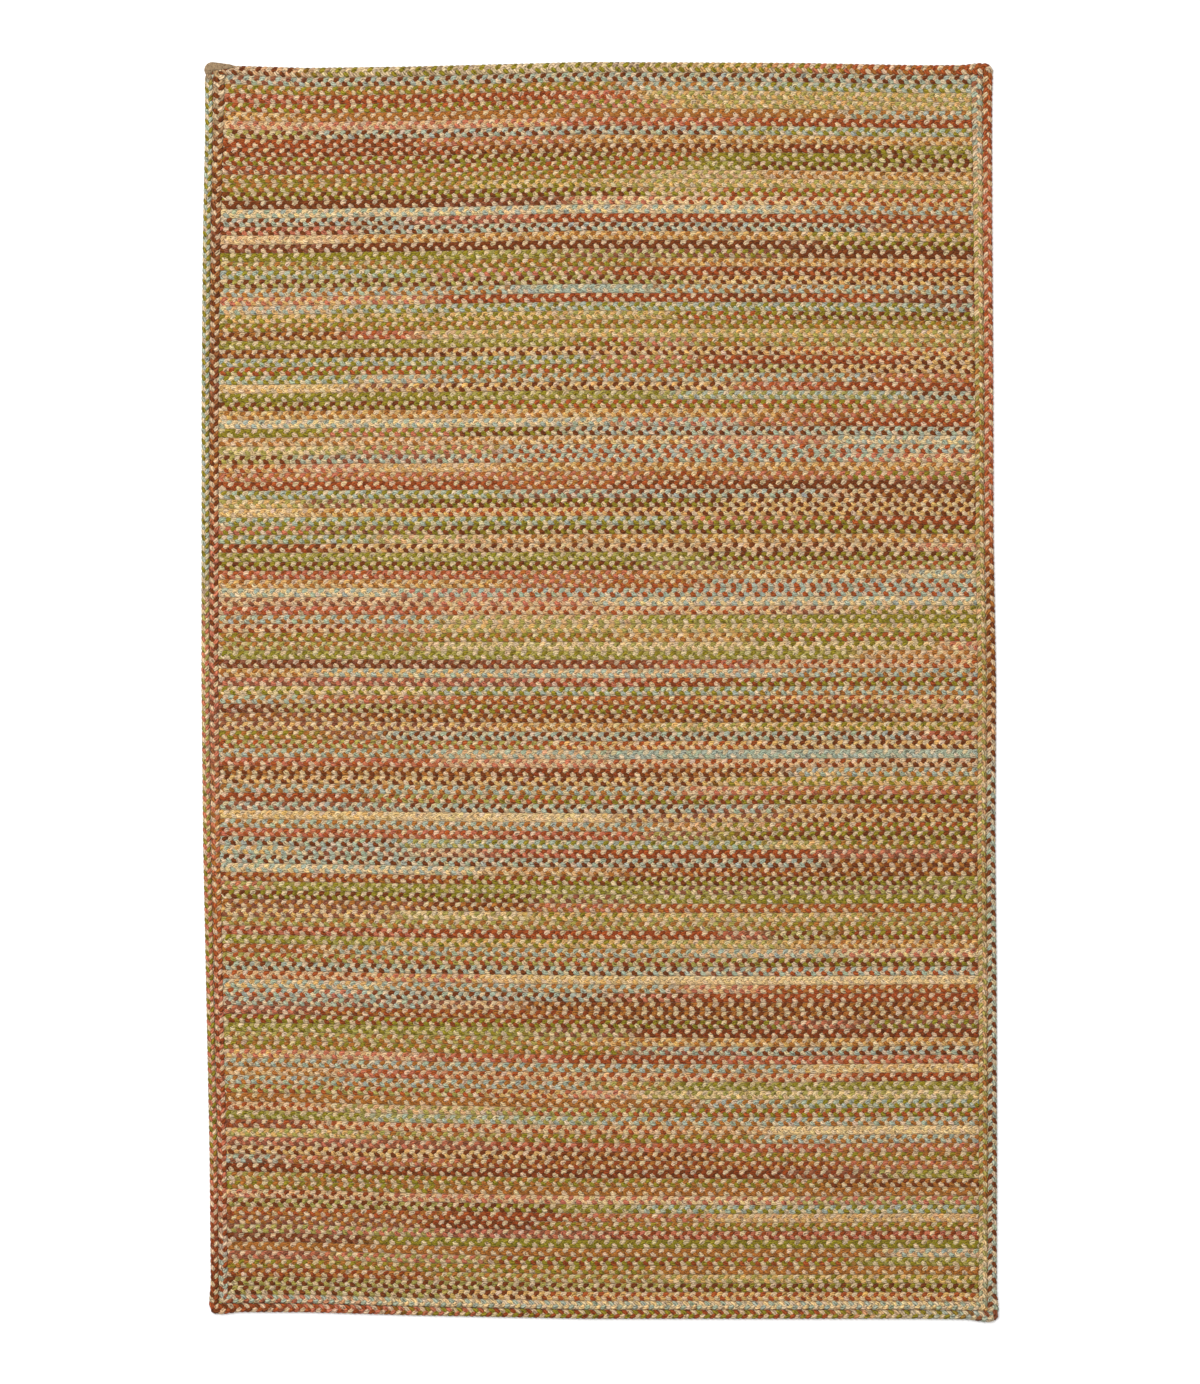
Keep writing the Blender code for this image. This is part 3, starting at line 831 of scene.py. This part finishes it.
STRAND_RINGS = 8  # of a strand, in each turn
STRAND_SIDES = 6
STRAND_ROUND = 0.020  # once round a strand
STRAND_START, STRAND_STOP = 0.004, 0.0006  # where the strands begin and end, from the braid's own ends
SPREAD = 1.03  # how widely they lie, in the braid's widths
LOWEST = 0.25  # the least height of a narrow braid, in usual ones
BINDING = 0.075  # the length at the end in which the strands are worked together
BINDING_FADE = 0.020
BINDING_IN, BINDING_DOWN = 0.35, 0.25  # how much nearer together and how much lower they lie there
TAN = 0.082  # the length at the end in which they turn tan
TAN_FADE = 0.020


def border(material):
    """The border braid's three strands, each a whole interlaced tube. It was plaited from its bound end
    to its cut end, against the way in which it is sewn on."""
    rng = np.random.default_rng(SEED + 1)
    way = border_way()[::-1]
    lengths = way_lengths(way)
    turns = round(lengths[-1] / PERIOD)
    inner = np.array([entry[2] for entry in way])
    outer = np.array([entry[3] for entry in way])
    yarn_places, first, second = border_yarns(way, lengths)
    made = []
    for strand in range(STRANDS):
        points, quads, places = tube(turns * STRAND_RINGS, STRAND_SIDES)
        turn = (points[:, 0] * turns + strand / STRANDS) * 2 * math.pi
        along, across, up = strand_point(turn, points[:, 1] * 2 * math.pi)
        at = (along / PERIOD - strand / STRANDS) * lengths[-1] / turns
        at = np.clip(at, STRAND_START, lengths[-1] - STRAND_STOP)
        worked = smooth((BINDING - at) / BINDING_FADE)
        share = 0.5 + across / BRAID_WIDTH * (SPREAD - BINDING_IN * worked)
        near = np.stack([np.interp(at, lengths, inner[:, axis]) for axis in (0, 1)], axis=1)
        far = np.stack([np.interp(at, lengths, outer[:, axis]) for axis in (0, 1)], axis=1)
        width = np.linalg.norm(far - near, axis=1)
        low = np.clip(width / NARROW, LOWEST, 1.0) * (1 - BINDING_DOWN * worked)
        place = near + (far - near) * share[:, None]
        z = (THICKNESS / 2 + up) * low
        obj = joined(f"border_strand_{strand + 1}", np.column_stack([place, z]), quads, material)
        if strand:
            dyed = first if strand == 1 else second
        else:
            dyed = np.array(linear(YARNS["W"])) * (1 - SHED) + (first + second) / 2 * SHED
        shade = np.stack([np.interp(at, yarn_places, dyed[:, part]) for part in range(3)], axis=1)
        tones = tints(rng, turns * 2 + 3)
        lobe = points[:, 0] * turns * 2
        shade *= np.stack([np.interp(lobe, np.arange(len(tones)), tones[:, part])
                           for part in range(3)], axis=1)
        tanned = smooth((TAN - at) / TAN_FADE)[:, None]
        shade = shade * (1 - tanned) + np.array(linear(YARNS["N"])) * tanned
        painted(obj, "yarn", shade)
        cell = np.repeat(np.floor(places.mean(axis=1)[:, 0] * turns).astype(int), 4)
        places = places.reshape(-1, 2)
        mapped(obj, "Strand", places * (lengths[-1] * OWN_WAY, STRAND_ROUND))
        local = np.stack([places[:, 0] * turns - cell, places[:, 1]], axis=1)
        squares(obj, cell, local)
        made.append(obj)
    return made


END_SIDES = 16
END_TOP = 0.0105  # of the bound end, which lies half on the head row
END_WIDE = 1.04  # how wide it is, in its place's widths
END_RISE = 0.3  # the share of it after which it begins to rise onto the head row
END_TIP_TOP = 0.0100
END_TIP_BOTTOM = 0.0060
END_TIP_WIDTH = 0.0070


def bound_end(material):
    """The border braid's end: worked smooth, it goes round the head-left corner and tapers off on the
    head row's edge."""
    # The way's last section lies past its tip.
    way = [entry for entry in border_way() if entry[0] == "tail"][:-1]
    before = way[0][3] - way[0][2]
    # It comes out from between the strands: how far before the corner, how wide and how high it is.
    lead = [(-0.007, 0.74, 0.0080), (-0.003, 0.92, 0.0094)]
    sections = [(way[0][2] + UP * back, way[0][2] + UP * back + before, *size) for back, *size in lead]
    for number, (_, _, inner, outer) in enumerate(way):
        share = max(0.0, (number - CORNER_STEPS) / TAIL_STEPS)
        full = EARS["tail"][1] + (END_TIP_WIDTH - EARS["tail"][1]) * share
        if share:
            inner = outer + DOWN * full
        sections.append((inner, outer, END_WIDE, END_TOP))
    # It goes on for 6 mm as a smaller and lower tip.
    inner, outer = sections[-1][:2]
    on = RIGHT * 0.006
    sections.append((inner + on, outer + on + DOWN * 0.001, 0.8, 0.0078))
    bm = bmesh.new()
    loops = []
    for step, (inner, outer, wide, high) in enumerate(sections):
        share = smooth((step / (len(sections) - 1) - END_RISE) / (1 - END_RISE))
        top = high + (END_TIP_TOP - high) * share
        bottom = END_TIP_BOTTOM * share
        ring = bmesh.ops.create_circle(bm, cap_ends=False, radius=1, segments=END_SIDES)["verts"]
        loops.append(list({edge for vert in ring for edge in vert.link_edges}))
        for vert in ring:
            place = inner.lerp(outer, 0.5 + 0.5 * wide * vert.co.x)
            vert.co = (*place, (top + bottom) / 2 + (top - bottom) / 2 * vert.co.y)
    for one, other in zip(loops, loops[1:]):
        bmesh.ops.bridge_loops(bm, edges=one + other)
    bmesh.ops.holes_fill(bm, edges=bm.edges, sides=END_SIDES)
    bmesh.ops.recalc_face_normals(bm, faces=bm.faces)
    obj = built("bound_end", bm, material)
    obj.data.shade_smooth()
    return obj


# ---- The body, the sewing and the underside --------------------------------------------------------

BODY_TOP = 0.0046
BODY_UNDER = ((0.0, 0.0030), (0.2, 0.0008), (0.5, 0.0), (0.8, 0.0008))  # share of a braid, height
BODY_COLUMNS = 24
BODY_INSET = 0.3  # how far within the head and foot edge it ends, in braids
UNDER_BORDER = 0.030  # how far the body reaches out from the field, under the border


def number_at(x, y):
    """The number with which line() passes through each place, approached from the rug's middle."""
    number = np.full(len(x), 70.0)
    for _ in range(12):
        number += (line(number, x) - y) / (LENGTH / FOOT_LINE)
    return number


def body(material):
    """The braids' lower half: a closed slab with a rib below for each braid."""
    rng = np.random.default_rng(SEED)
    colours, changes = field_yarn_rows(rng)
    rows = FIELD_ROWS + 2
    bm = bmesh.new()
    bmesh.ops.create_grid(bm, x_segments=BODY_COLUMNS, y_segments=rows * len(BODY_UNDER), size=0.5)
    phases = np.random.default_rng(SEED + 2).uniform(0, STRANDS, rows)
    for vert in bm.verts:
        step = round((0.5 - vert.co.y) * rows * len(BODY_UNDER))
        share, up = BODY_UNDER[step % len(BODY_UNDER)]
        number = step // len(BODY_UNDER) + share + FIELD_FIRST - 1
        left, right = (meeting(side, 2, number) + side * RIGHT * UNDER_BORDER for side in (-1, 1))
        x = left.x + (right.x - left.x) * (vert.co.x + 0.5)
        number = min(max(number, BODY_INSET), FOOT_LINE - BODY_INSET)
        vert.co = (x, line(number, x), up)
    below = bm.faces[:]
    bmesh.ops.reverse_faces(bm, faces=below)
    raised = bmesh.ops.extrude_face_region(bm, geom=below)["geom"]
    for part in raised:
        if isinstance(part, bmesh.types.BMVert):
            part.co.z = BODY_TOP
    bmesh.ops.recalc_face_normals(bm, faces=bm.faces)
    obj = built("rug_body", bm, material)
    mesh = obj.data
    mesh.shade_smooth()
    mesh.set_sharp_from_angle(angle=math.radians(60))

    count = len(mesh.loops)
    vertex = np.zeros(count, np.int32)
    mesh.loops.foreach_get("vertex_index", vertex)
    places = np.zeros(len(mesh.vertices) * 3)
    mesh.vertices.foreach_get("co", places)
    places = places.reshape(-1, 3)[vertex]
    starts = np.array([face.loop_start for face in mesh.polygons])
    totals = np.array([face.loop_total for face in mesh.polygons])
    face_of = np.repeat(np.arange(len(starts)), totals)
    middles = np.array([face.center for face in mesh.polygons])
    row = np.clip(np.floor(number_at(middles[:, 0], middles[:, 1])).astype(int), 0, rows - 1)[face_of]
    # A corner on a seam keeps within its own face's braid.
    share = np.clip(number_at(places[:, 0], places[:, 1]) - row, 0.001, 0.999)
    mapped(obj, "Braid", np.stack([places[:, 0] / PITCH + phases[row], row + share], axis=1))
    field_row = np.clip(row - 1, 0, FIELD_ROWS - 1)
    for name, strand in (("yarn_first", 1), ("yarn_second", 2)):
        shade = yarn_at(colours, changes, field_row, np.full(count, strand), places[:, 0])
        painted(obj, name, shade, "CORNER")
    return obj


THREAD_RADIUS = 0.0004
THREAD_HEIGHT = 0.0052
THREAD_STEPS, THREAD_SIDES = 24, 4


def sewing(material):
    """The thread that lies in each seam between two braids of the field."""
    points, quads, _ = tube(THREAD_STEPS, THREAD_SIDES)
    seams = np.arange(FIELD_FIRST, FIELD_LAST + 1)
    angle = (1 - points[:, 1]) * 2 * math.pi
    left = np.array([meeting(-1, 2, number).x for number in seams])
    right = np.array([meeting(1, 2, number).x for number in seams])
    x = left[:, None] + (right - left)[:, None] * points[None, :, 0]
    y = line(np.repeat(seams[:, None], len(points), axis=1), x) + THREAD_RADIUS * np.cos(angle)
    z = np.repeat((THREAD_HEIGHT + THREAD_RADIUS * np.sin(angle))[None], len(seams), axis=0)
    faces = (quads[None] + np.arange(len(seams))[:, None, None] * len(points)).reshape(-1, 4)
    return joined("sewing_thread", np.stack([x, y, z], axis=2).reshape(-1, 3), faces, material)


# ---- Floor, light and camera -----------------------------------------------------------------------

IMAGE_HEIGHT = 1384
SCALE = 0.001938  # what one pixel of the picture spans on the rug
LENS = 200.0
SENSOR = 36.0


def floor():
    """A plain pale floor under the rug."""
    material, tree, shader = started("pale_floor")
    place = add(tree, "ShaderNodeTexCoord").outputs["Object"]
    patch = add(tree, "ShaderNodeTexNoise", inputs={"Vector": place, "Scale": 3.0})
    tone = add(tree, "ShaderNodeValToRGB", inputs={"Fac": patch.outputs["Fac"]})
    tone.color_ramp.elements[0].color = (0.90, 0.90, 0.90, 1)
    tone.color_ramp.elements[1].color = (0.92, 0.92, 0.92, 1)
    tree.links.new(tone.outputs["Color"], shader.inputs["Base Color"])
    shader.inputs["Roughness"].default_value = 0.9
    bm = bmesh.new()
    bmesh.ops.create_grid(bm, x_segments=1, y_segments=1, size=12)
    # It lies a little below the rug, so that no face of the two is in the same plane.
    bmesh.ops.translate(bm, verts=bm.verts, vec=(0, 0, -0.0002))
    built("floor", bm, material)


def light():
    """Soft even light from all round, and a broad lamp from above the head-left corner."""
    world = bpy.data.worlds.new("soft_light")
    world.use_nodes = True
    world.node_tree.nodes["Background"].inputs["Color"].default_value = (1, 1, 1, 1)
    world.node_tree.nodes["Background"].inputs["Strength"].default_value = 0.71
    bpy.context.scene.world = world
    lamp = bpy.data.lights.new("broad_lamp", "AREA")
    lamp.shape = "SQUARE"
    lamp.size = 6.4
    lamp.energy = 632
    obj = bpy.data.objects.new("broad_lamp", lamp)
    obj.location = (-2.5, 2.8, 6.7)
    obj.rotation_mode = "QUATERNION"
    obj.rotation_quaternion = (-Vector(obj.location)).to_track_quat("-Z", "Y")
    bpy.context.scene.collection.objects.link(obj)
    bpy.context.scene.view_settings.view_transform = "Standard"


def camera():
    """Straight above the rug, far off with a long lens."""
    data = bpy.data.cameras.new("above")
    data.lens = LENS
    data.sensor_width = SENSOR
    data.sensor_fit = "AUTO"
    data.clip_end = 100
    obj = bpy.data.objects.new("above", data)
    obj.location = (0, 0, THICKNESS + IMAGE_HEIGHT * SCALE * LENS / SENSOR)
    bpy.context.scene.collection.objects.link(obj)
    bpy.context.scene.camera = obj


# ---- Putting it together ---------------------------------------------------------------------------

def main():
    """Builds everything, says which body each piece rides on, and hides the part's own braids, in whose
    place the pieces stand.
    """
    camera()
    wool = strand_wool()
    field_pieces = field(wool)
    border_pieces = border(wool)
    end = bound_end(binding_wool())
    slab = body(underside_wool())
    thread = sewing(thread_polyester())
    for piece in (*field_pieces, *border_pieces, end, slab, thread):
        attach(piece, "root")
    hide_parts("field_braids")
    border_nodes = [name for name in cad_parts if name.startswith("border_")]
    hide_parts(*sorted(border_nodes))
    floor()
    light()


main()
